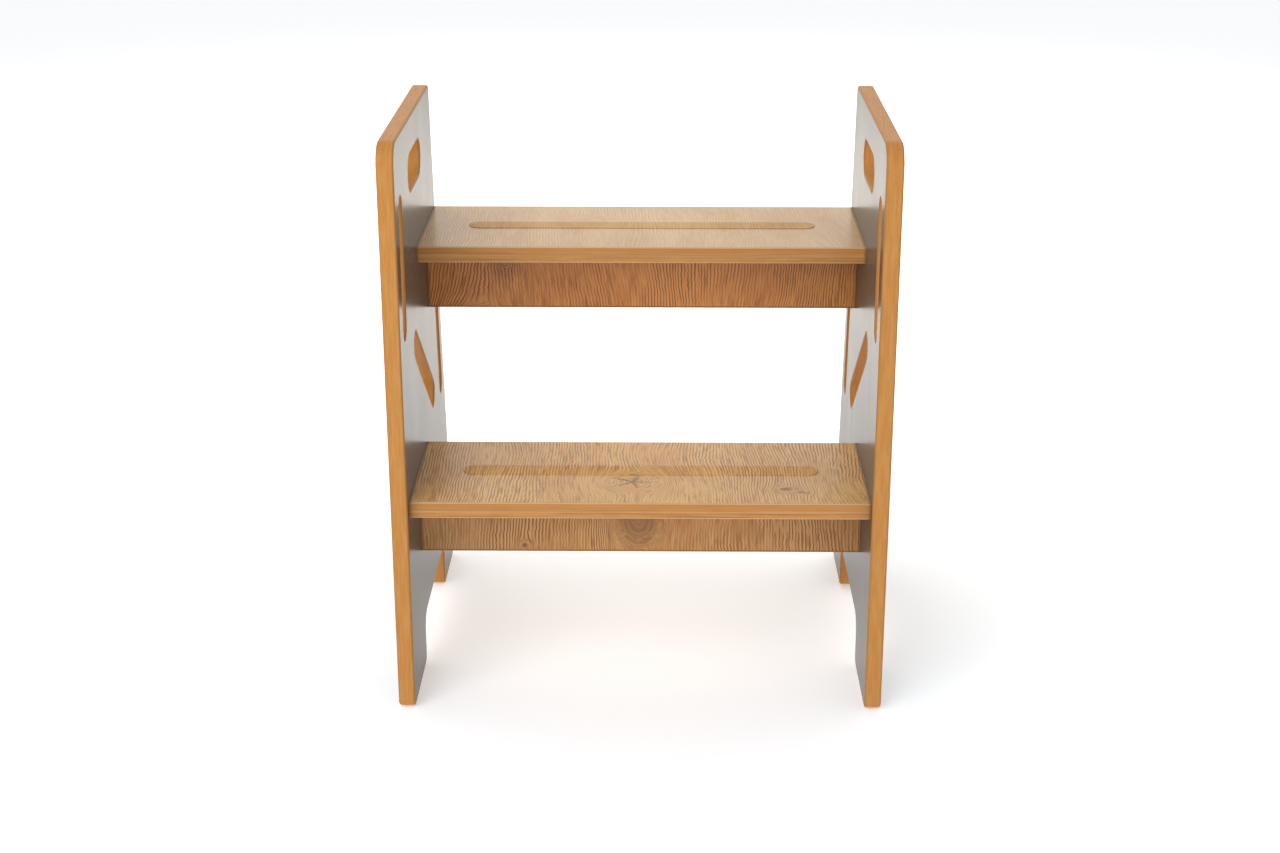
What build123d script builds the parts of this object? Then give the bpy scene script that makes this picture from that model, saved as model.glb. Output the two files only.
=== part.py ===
from build123d import *
from math import hypot
import os

# Step stool: two treads between two upright side panels, all of 15 mm board.
# Sizes are in millimetres. The origin is on the floor at the middle of the
# footprint, +Z is up, the front of the stool faces -Y, and -X is the left
# side as seen from the front. Names ending in _setback are measured back
# from the front edge of the side panels.

# Overall sizes
board = 15.0
overall_width = 438.0
overall_height = 522.0
base_depth = 353.0
top_depth = 269.0
arris = 2.0
tread_arris = 1.0

# Side panel outline
front_top_radius = 20.0
back_top_radius = 6.0
foot_corner_radius = 8.0
front_foot_length = 97.0
rear_foot_length = 87.0
arch_height = 46.5
arch_radius = 15.0

# Side panel cut-outs, all with fully round ends
slot_width = 20.5
slot_length = 127.0
front_slot_setback = 33.7
front_slot_bottom = 342.5
rear_slot_bottom = 206.0
rear_slot_margin = 31.6
brace_slot_width = 25.4
brace_slot_top = (103.9, 314.6)
brace_slot_bottom = (219.5, 227.7)
handle_length = 93.0
handle_height = 32.7
handle_setback = 139.4
handle_drop = 48.6

# Treads, aprons and grip strips
tread_depth = 152.4
lower_tread_top = 198.2
upper_tread_top = 398.5
lower_tread_setback = 12.5
upper_tread_margin = 1.5
apron_height = 66.4
apron_inset = 78.5
strip_length = 326.0
strip_width = 22.0
strip_thickness = 0.6
strip_inset = 78.0

# Foot pads
pad_thickness = 1.0
pad_width = 10.5
pad_end_gap = 9.0

# Furniture screws (7 x 50 mm, countersunk, hexagon socket) and their caps
screw_length = 50.0
head_radius = 5.0
shank_radius = 3.5
core_radius = 2.6
thread_radius = 3.15
thread_pitch = 3.0
head_recess = 0.4
head_rim = 1.0
countersink_depth = 2.5
shank_length = 12.0
tip_length = 3.0
socket_width = 4.0
socket_depth = 2.5
shank_clearance = 0.1
thread_clearance = 0.05
tread_screw_inset = 30.0
apron_screw_drop = 20.0
cap_radius = 6.5
cap_height = 1.4
cap_edge_radius = 0.9
cap_peg_width = 3.6
cap_peg_length = 2.0

# Wooden dowels
dowel_radius = 4.0
dowel_chamfer = 0.6
end_dowel_length = 30.0
apron_dowel_length = 25.0
dowel_depth_in_panel = 10.0
dowel_depth_in_tread = 10.0
dowel_end_gap = 0.5
apron_dowel_spacing = 140.0

# Worked out from the sizes above
inner_width = overall_width - 2 * board
back_lean = (base_depth - top_depth) / overall_height


def back_edge(z):
    """Distance from the panel's front edge to its leaning back edge at height z."""
    return base_depth - back_lean * z


# The rear foot's rounded corner ends a little short of base_depth.
corner_centre = back_edge(pad_thickness + foot_corner_radius) - foot_corner_radius * hypot(1, back_lean)
footprint_depth = corner_centre + foot_corner_radius
front_y = -footprint_depth / 2
upper_tread_setback = back_edge(upper_tread_top) - upper_tread_margin - tread_depth

TREADS = {
    "lower": (lower_tread_setback, lower_tread_top),
    "upper": (upper_tread_setback, upper_tread_top),
}
SIDES = {"left": -1, "right": 1}


def screw_points():
    """Setback and height of each screw that enters the boards' ends."""
    points = []
    for setback, top in TREADS.values():
        mid_board = top - board / 2
        points.append((setback + tread_screw_inset, mid_board))
        points.append((setback + tread_depth - tread_screw_inset, mid_board))
        points.append((setback + apron_inset + board / 2, top - board - apron_screw_drop))
    return points


def end_dowel_points():
    """Setback and height of each dowel in the boards' ends."""
    points = []
    for setback, top in TREADS.values():
        points.append((setback + tread_depth / 2, top - board / 2))
        points.append((setback + apron_inset + board / 2, top - board - apron_height + apron_screw_drop))
    return points


def apron_dowel_positions(setback):
    """X and Y of the upright dowels that join a tread to its apron."""
    y = front_y + setback + apron_inset + board / 2
    return [(x, y) for x in (-apron_dowel_spacing, 0.0, apron_dowel_spacing)]


# The solids that run along X are drawn standing on the XY plane, pointing up,
# then laid down so that they point inwards from the left or the right side.
def lay_inwards(solid, side, x, setback, z):
    """Turn a solid that points up so it points inwards from x on the given side."""
    turned = Rotation(0, -90 * side, 0) * solid
    return Pos(side * x, front_y + setback, z) * turned


def revolved(points):
    """Solid of revolution about Z from (radius, height) points."""
    outline = make_face(Plane.XZ * Polyline(*points, close=True))
    return revolve(outline, Axis.Z)


def screw_shape():
    """Countersunk furniture screw, head down, with a ridged thread and a hexagon socket."""
    cone_end = head_rim + countersink_depth
    thread_start = cone_end + shank_length
    thread_end = screw_length - tip_length
    ridge_count = int((thread_end - thread_start) / thread_pitch)
    points = [(0, 0), (head_radius, 0), (head_radius, head_rim), (shank_radius, cone_end)]
    points += [(shank_radius, thread_start), (core_radius, thread_start)]
    for ridge in range(ridge_count):
        foot = thread_start + ridge * thread_pitch
        points.append((core_radius, foot + 0.5 * thread_pitch))
        points.append((thread_radius, foot + 0.75 * thread_pitch))
        points.append((core_radius, foot + thread_pitch))
    points += [(core_radius, thread_end), (0, screw_length)]
    socket = extrude(RegularPolygon(socket_width / 2, 6, major_radius=False), socket_depth)
    return revolved(points) - socket


def screw_bore():
    """Hole for the screw: countersunk, clear of the shank and of the thread."""
    cone_end = head_rim + countersink_depth
    shank_hole = shank_radius + shank_clearance
    thread_hole = thread_radius + thread_clearance
    shank_end = cone_end + shank_length
    seat_end = head_rim + countersink_depth * (head_radius - shank_hole) / (head_radius - shank_radius)
    points = [(0, -head_recess), (head_radius, -head_recess), (head_radius, head_rim)]
    points += [(shank_hole, seat_end), (shank_hole, shank_end), (thread_hole, shank_end)]
    points += [(thread_hole, screw_length), (0, screw_length + tip_length)]
    return revolved(points)


def cap_shape():
    """Push-in cap: a low round button and the peg that grips the screw's socket."""
    button = Pos(0, 0, -cap_height / 2) * Cylinder(cap_radius, cap_height)
    button = fillet(button.edges().group_by(Axis.Z)[0], cap_edge_radius)
    peg = extrude(RegularPolygon(cap_peg_width / 2, 6, major_radius=False), head_recess + cap_peg_length)
    return button + peg


def dowel_shape(length):
    """Round dowel with chamfered ends, standing on the XY plane."""
    dowel = Pos(0, 0, length / 2) * Cylinder(dowel_radius, length)
    return chamfer(dowel.edges().filter_by(GeomType.CIRCLE), dowel_chamfer)


def dowel_bore(length):
    """Blind hole for a dowel, a little longer than the dowel at both ends."""
    return Pos(0, 0, length / 2) * Cylinder(dowel_radius, length + 2 * dowel_end_gap)


def at_screws(solid, side):
    """Copies of a solid at each screw, its base level with the screw heads."""
    x = overall_width / 2 - head_recess
    return [lay_inwards(solid, side, x, setback, z) for setback, z in screw_points()]


def at_end_dowels(solid, side):
    """Copies of a solid at each dowel in the boards' ends."""
    x = inner_width / 2 + dowel_depth_in_panel
    return [lay_inwards(solid, side, x, setback, z) for setback, z in end_dowel_points()]


def at_apron_dowels(solid, setback, top):
    """Copies of an upright solid at each dowel between a tread and its apron."""
    z = top - board + dowel_depth_in_tread - apron_dowel_length
    return [Pos(x, y, z) * solid for x, y in apron_dowel_positions(setback)]


def slot_between(start, end, width):
    """Round-ended slot in the panel's plane; start and end are its arc centres."""
    start = Vector(*start)
    run = Vector(*end) - start
    middle = start + run * 0.5
    angle = Vector(1, 0, 0).get_signed_angle(run, Vector(0, 0, 1))
    return Pos(middle.X, middle.Y) * Rot(0, 0, angle) * SlotCenterToCenter(run.length, width)


def panel_outline():
    """Side panel seen from the side: setback across, height up."""
    rear_foot_front = base_depth - rear_foot_length
    corners = [
        ((0, pad_thickness), foot_corner_radius),
        ((front_foot_length, pad_thickness), foot_corner_radius),
        ((front_foot_length, arch_height), arch_radius),
        ((rear_foot_front, arch_height), arch_radius),
        ((rear_foot_front, pad_thickness), foot_corner_radius),
        ((back_edge(pad_thickness), pad_thickness), foot_corner_radius),
        ((top_depth, overall_height), back_top_radius),
        ((0, overall_height), front_top_radius),
    ]
    points = [point for point, radius in corners]
    radii = [radius for point, radius in corners]
    return make_face(FilletPolyline(*points, radius=radii, close=True))


def panel_cut_outs():
    """The handle hole and the four slots of a side panel."""
    end = slot_width / 2
    front_bottom = (front_slot_setback, front_slot_bottom + end)
    front_top = (front_slot_setback, front_slot_bottom + slot_length - end)
    rear_low = rear_slot_bottom + end
    rear_high = rear_slot_bottom + slot_length - end
    rear_bottom = (back_edge(rear_low) - rear_slot_margin, rear_low)
    rear_top = (back_edge(rear_high) - rear_slot_margin, rear_high)
    handle_z = overall_height - handle_drop
    handle_run = (handle_length - handle_height) / 2
    handle_front = (handle_setback - handle_run, handle_z)
    handle_back = (handle_setback + handle_run, handle_z)
    return [
        slot_between(front_bottom, front_top, slot_width),
        slot_between(rear_bottom, rear_top, slot_width),
        slot_between(brace_slot_top, brace_slot_bottom, brace_slot_width),
        slot_between(handle_front, handle_back, handle_height),
    ]


def side_panel(side):
    """Side panel with rounded arrises, bored for its screws and dowels."""
    profile = panel_outline() - panel_cut_outs()
    inner_x = side * inner_width / 2
    outer_x = side * overall_width / 2
    plane = Plane(origin=(min(inner_x, outer_x), front_y, 0), x_dir=(0, 1, 0), z_dir=(1, 0, 0))
    panel = extrude(plane * profile, board)
    panel = fillet(panel.faces().filter_by(Axis.X).edges(), arris)
    panel -= at_screws(screw_bore(), side)
    panel -= at_end_dowels(dowel_bore(end_dowel_length), side)
    return panel


def bored_for_ends(solid):
    """Bore a tread or an apron for the screws and dowels that enter its ends."""
    for side in SIDES.values():
        solid -= at_screws(screw_bore(), side)
        solid -= at_end_dowels(dowel_bore(end_dowel_length), side)
    return solid


def tread(setback, top):
    """Tread board, its front and back edges slightly rounded."""
    middle = Pos(0, front_y + setback + tread_depth / 2, top - board / 2)
    solid = middle * Box(inner_width, tread_depth, board)
    solid = fillet(solid.edges().filter_by(Axis.X), tread_arris)
    solid = bored_for_ends(solid)
    solid -= at_apron_dowels(dowel_bore(apron_dowel_length), setback, top)
    return solid


def apron(setback, top):
    """Upright rail under a tread, its lower edges slightly rounded."""
    y = front_y + setback + apron_inset + board / 2
    solid = Pos(0, y, top - board - apron_height / 2) * Box(inner_width, board, apron_height)
    lower_edges = solid.edges().filter_by(Axis.X).group_by(Axis.Z)[0]
    solid = fillet(lower_edges, tread_arris)
    solid = bored_for_ends(solid)
    solid -= at_apron_dowels(dowel_bore(apron_dowel_length), setback, top)
    return solid


def grip_strip(setback, top):
    """Thin round-ended anti-slip strip on a tread."""
    outline = SlotOverall(strip_length, strip_width)
    return Pos(0, front_y + setback + strip_inset, top) * extrude(outline, strip_thickness)


def foot_pad(side, setback, length):
    """Thin round-ended pad under one foot."""
    outline = Rot(0, 0, 90) * SlotOverall(length - 2 * pad_end_gap, pad_width)
    x = side * (overall_width - board) / 2
    return Pos(x, front_y + setback + length / 2, 0) * extrude(outline, pad_thickness)


def build_nodes():
    """Every piece of the stool, by name."""
    nodes = {}
    for side_name, side in SIDES.items():
        nodes[f"side_panel_{side_name}"] = side_panel(side)
        nodes[f"confirmat_screws_{side_name}"] = Compound(at_screws(screw_shape(), side))
        nodes[f"end_dowels_{side_name}"] = Compound(at_end_dowels(dowel_shape(end_dowel_length), side))
        cap = Pos(0, 0, -head_recess) * cap_shape()
        nodes[f"screw_caps_{side_name}"] = Compound(at_screws(cap, side))
        nodes[f"foot_pad_front_{side_name}"] = foot_pad(side, 0, front_foot_length)
        rear_foot_front = base_depth - rear_foot_length
        nodes[f"foot_pad_rear_{side_name}"] = foot_pad(side, rear_foot_front, rear_foot_length)
    for level, (setback, top) in TREADS.items():
        nodes[f"tread_{level}"] = tread(setback, top)
        nodes[f"apron_{level}"] = apron(setback, top)
        nodes[f"grip_strip_{level}"] = grip_strip(setback, top)
        dowels = at_apron_dowels(dowel_shape(apron_dowel_length), setback, top)
        nodes[f"apron_dowels_{level}"] = Compound(dowels)
    return nodes


os.makedirs("parts", exist_ok=True)
for name, solid in build_nodes().items():
    export_step(solid, f"parts/{name}.step")
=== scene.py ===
import math

import bpy
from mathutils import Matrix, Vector


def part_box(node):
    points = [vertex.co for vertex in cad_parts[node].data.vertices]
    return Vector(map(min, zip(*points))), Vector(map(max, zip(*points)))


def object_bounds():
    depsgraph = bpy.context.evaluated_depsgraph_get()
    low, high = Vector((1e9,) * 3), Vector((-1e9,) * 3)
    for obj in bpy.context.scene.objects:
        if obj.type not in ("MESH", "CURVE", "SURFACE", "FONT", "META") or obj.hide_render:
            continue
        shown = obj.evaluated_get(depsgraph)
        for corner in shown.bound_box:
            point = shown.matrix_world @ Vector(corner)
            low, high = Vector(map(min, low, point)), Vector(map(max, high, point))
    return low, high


# Looks of the two-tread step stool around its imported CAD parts. Everything is
# in metres, in the CAD frame: +Z up, the front faces -Y, the origin is on the
# floor at the middle of the footprint. Every shown piece is a CAD node with a
# node-based material: the boards' shapes are already right.

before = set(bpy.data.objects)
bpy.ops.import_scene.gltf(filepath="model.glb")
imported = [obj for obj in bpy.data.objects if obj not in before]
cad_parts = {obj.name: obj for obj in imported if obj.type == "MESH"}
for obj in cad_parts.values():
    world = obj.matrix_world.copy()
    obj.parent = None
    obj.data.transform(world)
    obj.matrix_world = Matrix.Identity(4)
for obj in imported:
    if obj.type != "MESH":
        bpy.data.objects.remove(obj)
cad_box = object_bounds()
stool_middle = (cad_box[0] + cad_box[1]) / 2

# Camera: where the eye stands from the front of the stool, and how it looks
EYE_DISTANCE = 1.619
EYE_HEIGHT = 0.876
EYE_SIDE = 0.017
LOOK_DOWN_DEGREES = 19.26
LOOK_LEFT_DEGREES = 0.59
LENS_MM = 56.2
SENSOR_MM = 36.0
LENS_SHIFT_Y = -0.03

# Sky: its strength towards the front and the back, the share of it left
# overhead, and the parts of the unit direction between which it changes
FRONT_SKY = 0.60
BACK_SKY = 1.15
OVERHEAD_SHARE = 0.78
FRONT_TO_BACK = (-0.5, 0.9)
LEVEL_TO_OVERHEAD = (0.35, 0.90)
SKY_TINT = (1.0, 0.99, 0.965)

# Key light, high in front on the left
KEY_PLACE = (-1.1, -2.0, 1.9)
KEY_SIZE = 1.8
KEY_WATTS = 35.0
KEY_SPREAD_DEGREES = 180.0
KEY_TINT = (1.0, 1.0, 1.0)

# Back light, over the floor behind the stool
BACK_PLACE = (0.0, 1.75, 1.4)
BACK_AIM = (0.0, 1.70, 0.0)
BACK_SIZE = 2.0
BACK_WATTS = 17.0
BACK_SPREAD_DEGREES = 95.0
BACK_TINT = (1.0, 0.86, 0.66)

# Floor
FLOOR_SIZE = 40.0
FLOOR_COLOUR = (0.88, 0.91, 0.96, 1.0)
FLOOR_GLOW_COLOUR = (1.0, 1.0, 1.0, 1.0)
FLOOR_GLOW = 0.30
FLOOR_ROUGHNESS = 0.9
FLOOR_GLOSS = 0.1

# Linear colours: laminate on the panels
LAMINATE_LIGHT = (0.092, 0.078, 0.062)
LAMINATE_DARK = (0.078, 0.065, 0.051)

# Bare lacquered fibreboard edges
EDGE_YELLOW = (0.550, 0.262, 0.073)
EDGE_RED = (0.500, 0.214, 0.050)
# The dark edge colour below is the bare board's own dark tone in its specks and layers, and also painted
# shade on the panels' arrises, at the boards' joints and along the aprons' lower edges
EDGE_DARK_AND_SHADE = (0.280, 0.112, 0.028)
# The pale edge colour below is the pale middle line in a tread's front edge, and also a painted highlight
# on the treads' rounded arrises
EDGE_PALE_AND_HIGHLIGHT = (0.700, 0.480, 0.280)

# Oak print
OAK_PALE = (0.590, 0.345, 0.128)
OAK_TAN = (0.510, 0.265, 0.086)
OAK_LINE = (0.230, 0.086, 0.019)
OAK_LIGHT = (0.680, 0.430, 0.195)
OAK_KNOT = (0.085, 0.036, 0.012)

# Fittings
PAD_DARK = (0.014, 0.009, 0.006)
PAD_LIGHT = (0.030, 0.019, 0.012)
STEEL_DARK = (0.50, 0.48, 0.45)
STEEL_LIGHT = (0.66, 0.64, 0.60)
DOWEL_DARK = (0.50, 0.29, 0.13)
DOWEL_LIGHT = (0.62, 0.40, 0.20)

# Gloss, as the specular level of each finish
PANEL_GLOSS = 0.14
TREAD_GLOSS = 0.32
APRON_GLOSS = 0.35
FILM_GLOSS = 0.20
FITTING_GLOSS = 0.50

# Roughness
LAMINATE_ROUGHNESS = 0.26
LAMINATE_ROUGHNESS_SWING = 0.05
PANEL_EDGE_ROUGHNESS = 0.42
TREAD_FACE_ROUGHNESS = 0.26
TREAD_EDGE_ROUGHNESS = 0.40
APRON_ROUGHNESS = 0.30
FILM_ROUGHNESS = 0.55

# Relief, as the depth of each finish's bumps
PANEL_RELIEF = 0.00003
TREAD_RELIEF = 0.00004
APRON_RELIEF = 0.00005
FILM_RELIEF = 0.00008

# Smallest cosine between a spot's normal and an axis that it counts as facing
FACING_LIMIT = 0.9995

# Where dark lines start and reach full strength: painted shade on a panel's arrises,
# from the middle of its thickness; a dark joint with painted shade in it, inwards from a board's
# ends; and painted shade along an apron's lower edge, upwards from its under face
PANEL_ARRIS_SHADE = (0.0052, 0.0076)
JOINT_LINE_AND_SHADE = (0.0024, 0.0010)
LOWER_EDGE_SHADE = (0.0026, 0.0012)

# Bands in a tread's front edge, as shares of its depth from the top face
RED_BAND = (0.52, 0.30)
PALE_LINE = (0.44, 0.54, 0.56, 0.66)

# Oak figure: the growth rings' spacing, how many rings their crowding shifts
# them by, and how far the grain's three bends swing it sideways
RING = 0.0029
RING_CROWDING = 1.8
WAVE_SWING = 0.050
SWAY_SWING = 0.007
WIGGLE_SWING = 0.0022

# Knots: where the grain turns into rings, as shares of a knot's radius, how far
# those rings swing, how ragged a heart is, its full-dark share, and its arms' depth
KNOT_RINGS = (1.25, 0.75)
KNOT_SWAY_SWING = 0.016
KNOT_WIGGLE_SWING = 0.006
HEART_RAGGEDNESS = 0.8
HEART_CORE = 0.35
ARM_DEPTH = 0.72

# Noise features a metre, across and along the grain
WAVE_RATES = (5.0, 5.0)
SWAY_RATES = (22.0, 16.0)
WIGGLE_RATES = (45.0, 170.0)
TONE_RATES = (24.0, 5.0)
CROWD_RATES = (45.0, 4.0)
BREAK_RATES = (210.0, 45.0)
STREAK_RATES = (520.0, 42.0)
ZONE_RATES = (15.0, 9.0)
HEART_RATES = (260.0, 260.0)

# Noise features a metre, across a bare edge's board and along its two directions
EDGE_STREAK_RATES = (520.0, 38.0, 38.0)
EDGE_SPECK_RATES = (1300.0, 900.0, 900.0)

# Noise features a metre along X, Y and Z
LAYER_RATES = (5.0, 30.0, 480.0)
CLOUD_RATES = (9.0, 26.0, 9.0)
GRIT_RATES = (1500.0, 1500.0, 1500.0)


def smooth_range(tree, value, start, end, at_start, at_end):
    """at_start up to start, at_end from end on, smooth between; start is the smaller."""
    node = tree.nodes.new("ShaderNodeMapRange")
    node.interpolation_type = "SMOOTHSTEP"
    tree.links.new(value, node.inputs["Value"])
    node.inputs["From Min"].default_value = start
    node.inputs["From Max"].default_value = end
    node.inputs["To Min"].default_value = at_start
    node.inputs["To Max"].default_value = at_end
    return node.outputs[0]


class Shader:
    """A node material, with short calls for the nodes that the patterns use."""

    def __init__(self, name, gloss, metallic=0.0):
        self.material = bpy.data.materials.new(name)
        self.material.use_nodes = True
        self.tree = self.material.node_tree
        self.surface = self.tree.nodes["Principled BSDF"]
        self.surface.inputs["Specular IOR Level"].default_value = gloss
        self.surface.inputs["Metallic"].default_value = metallic
        self.x, self.y, self.z = self.split(self.add("ShaderNodeTexCoord").outputs["Object"])

    def add(self, kind, **settings):
        """A new node with these settings."""
        node = self.tree.nodes.new(kind)
        for name, value in settings.items():
            setattr(node, name, value)
        return node

    def feed(self, socket, value):
        """Link a socket's output, or set a plain value."""
        if isinstance(value, bpy.types.NodeSocket):
            self.tree.links.new(value, socket)
        else:
            socket.default_value = value

    def split(self, vector):
        """The three parts of a vector."""
        node = self.add("ShaderNodeSeparateXYZ")
        self.feed(node.inputs[0], vector)
        return node.outputs[0], node.outputs[1], node.outputs[2]

    def join(self, x, y, z):
        """A vector from its three parts."""
        node = self.add("ShaderNodeCombineXYZ")
        for socket, value in zip(node.inputs, (x, y, z)):
            self.feed(socket, value)
        return node.outputs[0]

    def math(self, operation, a, b=0.0, clamp=False):
        """One operation on two values, or on the first alone."""
        node = self.add("ShaderNodeMath", operation=operation, use_clamp=clamp)
        self.feed(node.inputs[0], a)
        self.feed(node.inputs[1], b)
        return node.outputs[0]

    def times(self, a, b):
        """The product of two values."""
        return self.math("MULTIPLY", a, b)

    def total(self, *values):
        """The sum of any number of values."""
        result = values[0]
        for value in values[1:]:
            result = self.math("ADD", result, value)
        return result

    def scaled(self, value, factor, offset=0.0):
        """A value times a plain factor, plus a plain offset."""
        node = self.add("ShaderNodeMath", operation="MULTIPLY_ADD")
        self.feed(node.inputs[0], value)
        node.inputs[1].default_value = factor
        node.inputs[2].default_value = offset
        return node.outputs[0]

    def swing(self, noise, width, middle=0.0):
        """Noise from 0 to 1 as a shift of that full width, about a middle value."""
        return self.scaled(noise, width, middle - width / 2)

    def between(self, factor, start, end):
        """start where the factor is 0, end where it is 1."""
        return self.scaled(factor, end - start, start)

    def noise(self, x, y, z, detail, rough=0.5):
        """Noise value about 0.5 at a point already scaled to one feature a unit."""
        node = self.add("ShaderNodeTexNoise", noise_dimensions="3D")
        self.feed(node.inputs["Vector"], self.join(x, y, z))
        node.inputs["Scale"].default_value = 1.0
        node.inputs["Detail"].default_value = detail
        node.inputs["Roughness"].default_value = rough
        return node.outputs[0]

    def solid_noise(self, places, rates, detail, rough=0.5):
        """Noise through the board, with its own rate along each of three places."""
        x, y, z = (self.scaled(place, rate) for place, rate in zip(places, rates))
        return self.noise(x, y, z, detail, rough)

    def grain_noise(self, across, along, rates, seed, detail=2.0):
        """Noise over a board's face, with its own rate across and along the grain."""
        return self.noise(self.scaled(across, rates[0]), self.scaled(along, rates[1]), seed, detail)

    def ramp(self, value, start, end):
        """0 at start and 1 at end, smooth between; start may be the larger."""
        if start < end:
            return smooth_range(self.tree, value, start, end, 0.0, 1.0)
        return smooth_range(self.tree, value, end, start, 1.0, 0.0)

    def pulse(self, value, rise_start, rise_end, fall_start, fall_end):
        """0, up to 1 over the rise, and back to 0 over the fall."""
        return self.times(self.ramp(value, rise_start, rise_end), self.ramp(value, fall_end, fall_start))

    def mix(self, factor, a, b):
        """Colour a where the factor is 0, colour b where it is 1."""
        node = self.add("ShaderNodeMix", data_type="RGBA")
        self.feed(node.inputs[0], factor)
        for socket, colour in ((node.inputs[6], a), (node.inputs[7], b)):
            self.feed(socket, (*colour, 1.0) if isinstance(colour, tuple) else colour)
        return node.outputs[2]

    def overlay(self, colour, over, mask, strength):
        """A colour, with another over it up to that strength where the mask is 1."""
        return self.mix(self.scaled(mask, strength), colour, over)

    def facing(self, axis):
        """1 where the surface faces straight along an axis (0, 1 or 2), else 0."""
        normal = self.add("ShaderNodeNewGeometry").outputs["True Normal"]
        part = self.math("ABSOLUTE", self.split(normal)[axis])
        return self.math("GREATER_THAN", part, FACING_LIMIT)

    def finish(self, colour, roughness, height, depth):
        """The material, with its colour, its roughness and a relief of that depth."""
        self.feed(self.surface.inputs["Base Color"], colour)
        self.feed(self.surface.inputs["Roughness"], roughness)
        bump = self.add("ShaderNodeBump")
        bump.inputs["Distance"].default_value = depth
        self.feed(bump.inputs["Height"], height)
        self.feed(self.surface.inputs["Normal"], bump.outputs[0])
        return self.material


# Wood figure
class Knot:
    """A spot that the grain flows round, at places across and along the grain.

    radius is how far its rings reach. heart is the dark middle's own radius and dark
    its strength. A stretch above 1 shortens both along the grain. A heart with arms is
    star-shaped.
    """

    def __init__(self, across, along, radius, heart=0.0, dark=0.0, stretch=1.0, arms=0):
        self.across = across
        self.along = along
        self.radius = radius
        self.heart = heart
        self.dark = dark
        self.stretch = stretch
        self.arms = arms


class Board:
    """One oak board's own figure: noise seed, tint, dark lines, light flecks and knots. On the treads the
    tint also holds painted light.
    """

    def __init__(self, seed, tint, dark, light, knots):
        self.seed = seed
        self.tint = tint
        self.dark = dark
        self.light = light
        self.knots = knots

    def tinted(self, colour):
        """A colour of the print in this board's tint, which on the treads also holds painted light."""
        return tuple(part * share for part, share in zip(colour, self.tint))


def make_boards():
    """The oak boards, with their knots placed from the treads' front and under faces."""
    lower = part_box("tread_lower")[0]
    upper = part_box("tread_upper")[0]
    star_knot = Knot(-0.007, lower.y + 0.050, 0.024, heart=0.0080, dark=0.62, stretch=1.15, arms=5)
    twin_knot_behind = Knot(0.131, lower.y + 0.034, 0.011, heart=0.0085, dark=0.70, stretch=2.0)
    twin_knot_in_front = Knot(0.144, lower.y + 0.027, 0.008, heart=0.0070, dark=0.60, stretch=2.0)
    middle_swirl = Knot(-0.002, lower.z - 0.036, 0.020, heart=0.0280, dark=0.42, stretch=0.8)
    pin_knot = Knot(-0.108, lower.z - 0.061, 0.006, heart=0.0040, dark=0.40, stretch=0.9)
    pale_swirl = Knot(-0.055, upper.y + 0.095, 0.018)
    dark_patch = Knot(-0.131, upper.z - 0.020, 0.005, heart=0.0220, dark=0.30, stretch=0.8)
    corner_swirl = Knot(-0.158, upper.z - 0.098, 0.030)
    return {
        # The two treads carry one print; the difference between their tints is painted light
        "tread_lower": Board(
            seed=2.3,
            tint=(1.43, 1.46, 1.40),
            dark=1.00,
            light=0.70,
            knots=[star_knot, twin_knot_behind, twin_knot_in_front],
        ),
        "apron_lower": Board(
            seed=14.1,
            tint=(0.96, 0.87, 0.81),
            dark=1.00,
            light=1.00,
            knots=[middle_swirl, pin_knot],
        ),
        # Paler, bluer tint: painted sheen on the upper tread
        "tread_upper": Board(
            seed=37.4,
            tint=(1.12, 1.23, 1.52),
            dark=0.28,
            light=0.40,
            knots=[pale_swirl],
        ),
        "apron_upper": Board(
            seed=51.9,
            tint=(1.13, 0.84, 0.59),
            dark=1.00,
            light=1.15,
            knots=[dark_patch, corner_swirl],
        ),
    }


def reach_of(shader, across, along, knot):
    """Offsets across and along the grain from a knot's middle, and the distance squared."""
    side = shader.scaled(across, 1.0, -knot.across)
    ahead = shader.scaled(along, knot.stretch, -knot.along * knot.stretch)
    square = shader.total(shader.times(side, side), shader.times(ahead, ahead))
    return side, ahead, square


def grain_across(shader, across, along, board):
    """The distance across the grain, bent by its waves, and round each knot in rings."""
    wave = shader.grain_noise(across, along, WAVE_RATES, board.seed, 1.0)
    sway = shader.grain_noise(across, along, SWAY_RATES, board.seed + 5.0, 1.0)
    wiggle = shader.grain_noise(across, along, WIGGLE_RATES, board.seed + 3.0, 1.0)
    bent = shader.total(
        across,
        shader.swing(wave, WAVE_SWING),
        shader.swing(sway, SWAY_SWING),
        shader.swing(wiggle, WIGGLE_SWING),
    )
    for knot in board.knots:
        side, _, square = reach_of(shader, across, along, knot)
        reach = shader.math("SQRT", square)

        # The grain parts round the knot, less and less outside its radius
        near = shader.math("DIVIDE", knot.radius ** 2, shader.math("MAXIMUM", square, knot.radius ** 2))
        pull = shader.times(shader.scaled(side, -1.0), shader.times(near, near))
        bent = shader.total(bent, pull)

        # Inside the radius its lines turn into rings
        ring_start, ring_full = (share * knot.radius for share in KNOT_RINGS)
        inside = shader.ramp(reach, ring_start, ring_full)
        rings = shader.total(
            reach,
            shader.swing(wiggle, KNOT_WIGGLE_SWING, knot.across),
            shader.swing(sway, KNOT_SWAY_SWING),
        )
        change = shader.times(inside, shader.math("SUBTRACT", rings, bent))
        bent = shader.total(bent, change)
    return bent


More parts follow.
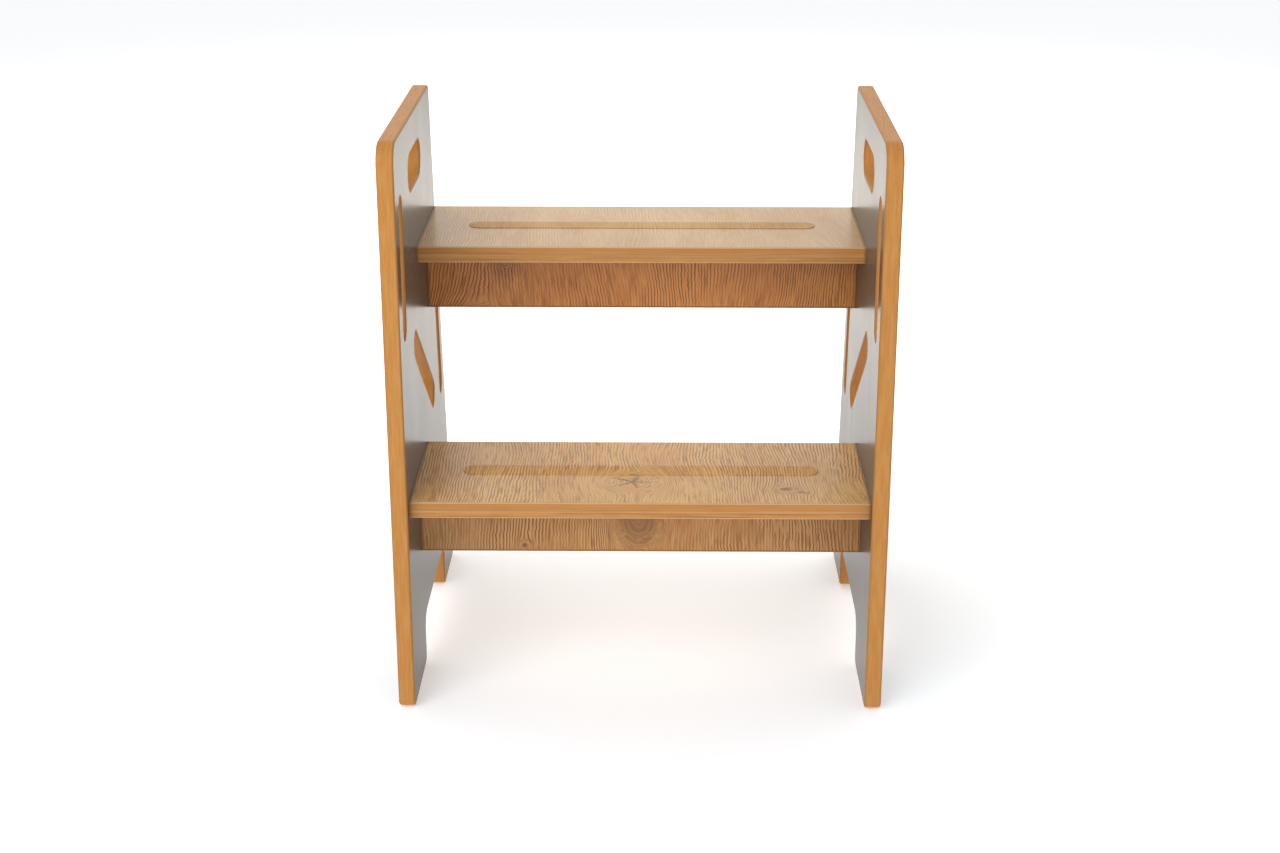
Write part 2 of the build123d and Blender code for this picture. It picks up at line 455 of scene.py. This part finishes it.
def knot_darkness(shader, across, along, board):
    """How dark the knots' hearts are: round, stretched or star-shaped spots."""
    dark = 0.0
    rough = shader.grain_noise(across, along, HEART_RATES, board.seed + 31.0, 3.0)
    for knot in (knot for knot in board.knots if knot.dark):
        side, ahead, square = reach_of(shader, across, along, knot)
        reach = shader.math("SQRT", square)
        if knot.arms:
            turn = shader.total(shader.math("ARCTAN2", ahead, side), shader.swing(rough, HEART_RAGGEDNESS))
            arm = shader.math("COSINE", shader.scaled(turn, float(knot.arms)))
            reach = shader.times(reach, shader.scaled(arm, -ARM_DEPTH, 1.0))
        reach = shader.total(reach, shader.swing(rough, HEART_RAGGEDNESS * knot.heart))
        spot = shader.scaled(shader.ramp(reach, knot.heart, HEART_CORE * knot.heart), knot.dark)
        dark = shader.math("MAXIMUM", dark, spot)
    return dark


def oak(shader, across, along, board):
    """Oak-print colour and relief: wavy growth rings in thin broken lines, and pores."""
    bent = grain_across(shader, across, along, board)

    # The numbers added to the seed only keep the noises apart
    tone = shader.grain_noise(bent, along, TONE_RATES, board.seed + 7.0)
    crowd = shader.grain_noise(bent, along, CROWD_RATES, board.seed + 9.0, 1.0)
    breaks = shader.grain_noise(bent, along, BREAK_RATES, board.seed + 13.0)
    streaks = shader.grain_noise(bent, along, STREAK_RATES, board.seed + 23.0)
    zone = shader.ramp(shader.grain_noise(bent, along, ZONE_RATES, board.seed + 19.0), 0.40, 0.62)

    # Each ring, from 0 to 1, has a dark line early in it and a light fleck late in it
    phase = shader.total(shader.scaled(bent, 1.0 / RING), shader.scaled(crowd, RING_CROWDING))
    ring = shader.math("FRACT", phase)
    dark_side = shader.pulse(ring, 0.0, 0.12, 0.20, 0.50)
    light_side = shader.pulse(ring, 0.50, 0.72, 0.80, 1.0)
    broken = shader.times(shader.ramp(breaks, 0.28, 0.50), shader.between(zone, 0.25, 1.0))
    line = shader.scaled(shader.times(dark_side, broken), board.dark)
    fleck = shader.scaled(shader.times(light_side, broken), board.light)

    # Fine streaks are pores at their high end and shine at their low end
    pore = shader.scaled(shader.ramp(streaks, 0.52, 0.68), 0.50 * board.dark)
    shine = shader.scaled(shader.ramp(streaks, 0.48, 0.34), 0.55 * board.light)

    colour = shader.mix(shader.ramp(tone, 0.30, 0.70), board.tinted(OAK_PALE), board.tinted(OAK_TAN))
    for mask in (fleck, shine):
        colour = shader.mix(mask, colour, board.tinted(OAK_LIGHT))
    for mask in (line, pore):
        colour = shader.mix(mask, colour, board.tinted(OAK_LINE))
    if any(knot.dark for knot in board.knots):
        colour = shader.mix(knot_darkness(shader, across, along, board), colour, OAK_KNOT)
    return colour, shader.math("SUBTRACT", 1.0, shader.math("MAXIMUM", line, pore))


# Edges
def edge_specks(shader, across, along_a, along_b):
    """Fine specks of fibre in a bare edge."""
    return shader.solid_noise((across, along_a, along_b), EDGE_SPECK_RATES, 2.0)


def bare_edge(shader, across, along_a, along_b):
    """Lacquered fibreboard edge: fine streaks that run along the edge, and specks."""
    streaks = shader.solid_noise((across, along_a, along_b), EDGE_STREAK_RATES, 3.0, 0.6)
    specks = edge_specks(shader, across, along_a, along_b)
    colour = shader.mix(shader.ramp(streaks, 0.34, 0.66), EDGE_YELLOW, EDGE_RED)
    return shader.overlay(colour, EDGE_DARK_AND_SHADE, shader.ramp(specks, 0.52, 0.78), 0.32)


def layered_edge(shader, node):
    """A tread's long edges: lacquered fibreboard in level layers, redder towards the top."""
    under, top = (corner.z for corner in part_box(node))
    thickness = top - under
    depth = shader.scaled(shader.z, -1.0 / thickness, top / thickness)
    layers = shader.solid_noise((shader.x, shader.y, shader.z), LAYER_RATES, 3.0, 0.6)
    edge = bare_edge(shader, shader.z, shader.x, shader.y)
    edge = shader.overlay(edge, EDGE_DARK_AND_SHADE, shader.ramp(layers, 0.44, 0.64), 0.58)
    edge = shader.overlay(edge, EDGE_RED, shader.ramp(depth, *RED_BAND), 0.55)
    return shader.overlay(edge, EDGE_PALE_AND_HIGHLIGHT, shader.pulse(depth, *PALE_LINE), 0.20)


def with_joint_lines_and_shade(shader, colour, node):
    """A board's colour with the thin dark line where its ends meet the side panels: a dark joint with
    painted shade in it.
    """
    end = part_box(node)[1].x
    line_start, line_full = (end - distance for distance in JOINT_LINE_AND_SHADE)
    near_end = shader.ramp(shader.math("ABSOLUTE", shader.x), line_start, line_full)
    # Dark joint and painted shade where the board's ends meet the side panels
    return shader.overlay(colour, EDGE_DARK_AND_SHADE, near_end, 0.7)


# Materials
def panel_material(node):
    """Satin dark taupe faces; rounded arrises and all edges are bare lacquered board, darkened towards the
    arrises as painted shade.
    """
    shader = Shader(node, PANEL_GLOSS)
    low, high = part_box(node)
    from_middle = shader.math("ABSOLUTE", shader.scaled(shader.x, 1.0, -(low.x + high.x) / 2))
    edge = bare_edge(shader, shader.x, shader.y, shader.z)
    # Painted shade: the bare edge darkens towards the arrises, away from the middle of the board's
    # thickness
    edge = shader.overlay(edge, EDGE_DARK_AND_SHADE, shader.ramp(from_middle, *PANEL_ARRIS_SHADE), 0.55)
    cloud = shader.solid_noise((shader.x, shader.y, shader.z), CLOUD_RATES, 3.0)
    face = shader.mix(cloud, LAMINATE_DARK, LAMINATE_LIGHT)
    on_face = shader.facing(0)
    roughness = shader.total(
        shader.between(on_face, PANEL_EDGE_ROUGHNESS, LAMINATE_ROUGHNESS),
        shader.swing(cloud, LAMINATE_ROUGHNESS_SWING),
    )
    relief = edge_specks(shader, shader.x, shader.y, shader.z)
    return shader.finish(shader.mix(on_face, edge, face), roughness, relief, PANEL_RELIEF)


def tread_material(node, board):
    """Satin oak-print faces, bare front and back edges and a painted highlight on the rounded arris."""
    shader = Shader(node, TREAD_GLOSS)
    print_colour, relief = oak(shader, shader.x, shader.y, board)
    on_face = shader.facing(2)
    on_arris = shader.math("SUBTRACT", 1.0, shader.total(on_face, shader.facing(1)), clamp=True)
    # Painted highlight: the rounded arrises are made paler than the bare edge
    edge = shader.overlay(layered_edge(shader, node), EDGE_PALE_AND_HIGHLIGHT, on_arris, 0.65)
    colour = with_joint_lines_and_shade(shader, shader.mix(on_face, edge, print_colour), node)
    roughness = shader.between(on_face, TREAD_EDGE_ROUGHNESS, TREAD_FACE_ROUGHNESS)
    return shader.finish(colour, roughness, relief, TREAD_RELIEF)


def apron_material(node, board):
    """Satin oak print, its grain upright, over the apron's faces; painted shade along the lower edge."""
    shader = Shader(node, APRON_GLOSS)
    print_colour, relief = oak(shader, shader.x, shader.z, board)
    edge = bare_edge(shader, shader.y, shader.x, shader.z)
    colour = with_joint_lines_and_shade(shader, shader.mix(shader.facing(1), edge, print_colour), node)
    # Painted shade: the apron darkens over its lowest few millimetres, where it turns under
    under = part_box(node)[0].z
    line_start, line_full = (under + distance for distance in LOWER_EDGE_SHADE)
    colour = shader.overlay(colour, EDGE_DARK_AND_SHADE, shader.ramp(shader.z, line_start, line_full), 0.80)
    return shader.finish(colour, APRON_ROUGHNESS, relief, APRON_RELIEF)


def strip_material(node, board):
    """Clear matt film: the tread's figure and tint show through, with less gloss; on the upper tread that
    tint holds painted sheen.
    """
    shader = Shader(node, FILM_GLOSS)
    colour, _ = oak(shader, shader.x, shader.y, board)
    grit = shader.solid_noise((shader.x, shader.y, shader.z), GRIT_RATES, 1.0)
    return shader.finish(colour, FILM_ROUGHNESS, grit, FILM_RELIEF)


def speckled_material(name, dark, light, roughness, rate, relief, metallic=0.0):
    """Plain moulded, sawn or plated finish: two near tones and a fine relief."""
    shader = Shader(name, FITTING_GLOSS, metallic)
    grain = shader.solid_noise((shader.x, shader.y, shader.z), (rate, rate, rate), 3.0, 0.6)
    return shader.finish(shader.mix(grain, dark, light), roughness, grain, relief)


def dress(node, material):
    """Put a material in every slot of a CAD node."""
    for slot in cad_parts[node].material_slots:
        slot.material = material


def dress_boards():
    """Treads, aprons, the strips on the treads, and the side panels."""
    boards = make_boards()
    for level in ("lower", "upper"):
        tread = f"tread_{level}"
        apron = f"apron_{level}"
        strip = f"grip_strip_{level}"
        dress(tread, tread_material(tread, boards[tread]))
        dress(apron, apron_material(apron, boards[apron]))
        dress(strip, strip_material(strip, boards[tread]))
    for panel in ("side_panel_left", "side_panel_right"):
        dress(panel, panel_material(panel))


def dress_fittings():
    """Foot pads, screws and their caps, and dowels."""
    pad = speckled_material("foot_pads", PAD_DARK, PAD_LIGHT, roughness=0.75, rate=900.0, relief=0.00004)
    steel = speckled_material(
        "screw_steel", STEEL_DARK, STEEL_LIGHT, roughness=0.32, rate=1400.0, relief=0.00001, metallic=1.0
    )
    cap = speckled_material(
        "screw_caps", LAMINATE_DARK, LAMINATE_LIGHT, roughness=0.42, rate=1200.0, relief=0.00002
    )
    dowel = speckled_material(
        "dowel_wood", DOWEL_DARK, DOWEL_LIGHT, roughness=0.60, rate=500.0, relief=0.00004
    )
    finishes = {
        "foot_pad": pad,
        "confirmat": steel,
        "screw_caps": cap,
        "end_dowels": dowel,
        "apron_dowels": dowel,
    }
    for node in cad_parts:
        for start, material in finishes.items():
            if node.startswith(start):
                dress(node, material)


# Stage, light and camera
def add_floor():
    """Plain pale studio floor."""
    half = FLOOR_SIZE / 2
    mesh = bpy.data.meshes.new("floor")
    corners = [(-half, -half, 0.0), (half, -half, 0.0), (half, half, 0.0), (-half, half, 0.0)]
    mesh.from_pydata(corners, [], [(0, 1, 2, 3)])
    floor = bpy.data.objects.new("floor", mesh)
    bpy.context.scene.collection.objects.link(floor)
    material = bpy.data.materials.new("floor")
    material.use_nodes = True
    surface = material.node_tree.nodes["Principled BSDF"]
    surface.inputs["Base Color"].default_value = FLOOR_COLOUR
    surface.inputs["Roughness"].default_value = FLOOR_ROUGHNESS
    surface.inputs["Specular IOR Level"].default_value = FLOOR_GLOSS
    surface.inputs["Emission Color"].default_value = FLOOR_GLOW_COLOUR
    surface.inputs["Emission Strength"].default_value = FLOOR_GLOW
    mesh.materials.append(material)


def add_sky():
    """Soft white surroundings, brighter behind the stool and dimmer overhead."""
    world = bpy.data.worlds.new("studio")
    bpy.context.scene.world = world
    world.use_nodes = True
    tree = world.node_tree
    background = tree.nodes["Background"]
    background.inputs["Color"].default_value = (*SKY_TINT, 1.0)
    place = tree.nodes.new("ShaderNodeTexCoord")
    split = tree.nodes.new("ShaderNodeSeparateXYZ")
    tree.links.new(place.outputs["Generated"], split.inputs[0])
    round_about = smooth_range(tree, split.outputs["Y"], *FRONT_TO_BACK, FRONT_SKY, BACK_SKY)
    upwards = smooth_range(tree, split.outputs["Z"], *LEVEL_TO_OVERHEAD, 1.0, OVERHEAD_SHARE)
    both = tree.nodes.new("ShaderNodeMath")
    both.operation = "MULTIPLY"
    tree.links.new(round_about, both.inputs[0])
    tree.links.new(upwards, both.inputs[1])
    tree.links.new(both.outputs[0], background.inputs["Strength"])


def add_soft_light(name, place, aim, size, spread, watts, tint, mirrored):
    """A large square soft light that the camera doesn't see, mirrored in gloss or not."""
    lamp = bpy.data.lights.new(name, "AREA")
    lamp.size = size
    lamp.spread = math.radians(spread)
    lamp.energy = watts
    lamp.color = tint
    light = bpy.data.objects.new(name, lamp)
    light.location = place
    light.rotation_euler = (Vector(aim) - Vector(place)).to_track_quat("-Z", "Y").to_euler()
    light.visible_camera = False
    light.visible_glossy = mirrored
    bpy.context.scene.collection.objects.link(light)


def add_lights():
    """A key light on the stool, and a back light on the floor behind it."""
    add_soft_light(
        "key",
        place=KEY_PLACE,
        aim=stool_middle,
        size=KEY_SIZE,
        spread=KEY_SPREAD_DEGREES,
        watts=KEY_WATTS,
        tint=KEY_TINT,
        mirrored=True,
    )
    add_soft_light(
        "back",
        place=BACK_PLACE,
        aim=BACK_AIM,
        size=BACK_SIZE,
        spread=BACK_SPREAD_DEGREES,
        watts=BACK_WATTS,
        tint=BACK_TINT,
        mirrored=False,
    )


def add_camera():
    """Camera in front of the stool, above it, looking down at it."""
    data = bpy.data.cameras.new("camera")
    data.lens = LENS_MM
    data.sensor_width = SENSOR_MM
    data.shift_y = LENS_SHIFT_Y
    camera = bpy.data.objects.new("camera", data)
    camera.location = Vector((EYE_SIDE, cad_box[0].y - EYE_DISTANCE, EYE_HEIGHT))
    camera.rotation_euler = (math.radians(90.0 - LOOK_DOWN_DEGREES), 0.0, math.radians(LOOK_LEFT_DEGREES))
    bpy.context.scene.collection.objects.link(camera)
    bpy.context.scene.camera = camera


add_camera()
add_floor()
add_sky()
add_lights()
dress_boards()
dress_fittings()
bpy.context.scene.view_settings.view_transform = "Standard"
